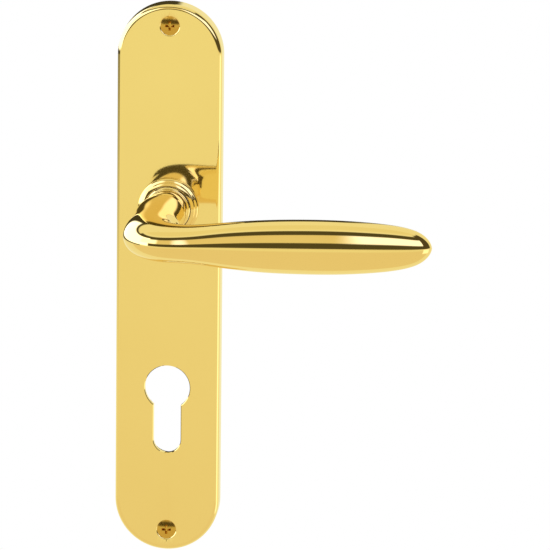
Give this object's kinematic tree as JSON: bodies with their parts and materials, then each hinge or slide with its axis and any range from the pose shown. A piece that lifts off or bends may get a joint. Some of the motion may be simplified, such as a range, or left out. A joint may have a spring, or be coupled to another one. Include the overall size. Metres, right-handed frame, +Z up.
{
  "type": "lever door handle on backplate",
  "caption": "Sprung lever door handle on a long round-ended brass backplate with a euro-profile cylinder cut-out, with its square spindle and fixing screws.",
  "frame": {"origin": "spindle axis at the door face, which is the plane of the backplate's back rim", "axes": "+Z up the door, -Y out of the door towards the hand, +X from the spindle to the lever's nose"},
  "size_m": [0.1265, 0.1256, 0.2175],
  "materials": {
    "polished_brass": "polished and lacquered",
    "brass_screw": "brass plated, polished",
    "acetal": "moulded",
    "filled_nylon": "moulded, fine texture",
    "zinc_steel": "bright zinc plated",
    "pressed_steel": "pressed, yellow passivated",
    "spring_steel": "oil tempered wire",
    "blackened_steel": "blackened"
  },
  "bodies": {
    "plate": {"backplate": "polished_brass", "neck_collar": "polished_brass", "neck_bush": "acetal", "thrust_washer": "acetal", "backing_frame": "filled_nylon", "frame_screws": "zinc_steel", "fixing_screws": "brass_screw", "captive_washers": "acetal", "spring_housing": "pressed_steel", "stop_pins": "zinc_steel", "spring_cover": "pressed_steel", "cover_screws": "zinc_steel", "return_spring": "spring_steel"},
    "lever": {"lever": "polished_brass", "grub_screw": "blackened_steel", "spindle": "zinc_steel", "driver": "pressed_steel", "retaining_ring": "blackened_steel", "spring_washer": "spring_steel"}
  },
  "joints": [
    {"name": "lever_press", "type": "hinge", "parent": "plate", "child": "lever", "pos_m": [0, 0, 0], "axis": [0, 1, 0], "range_deg": [0, 40], "stiffness_Nm_per_rad": 0.6, "springref_deg": -45.84, "deforming": ["return_spring"]}
  ]
}
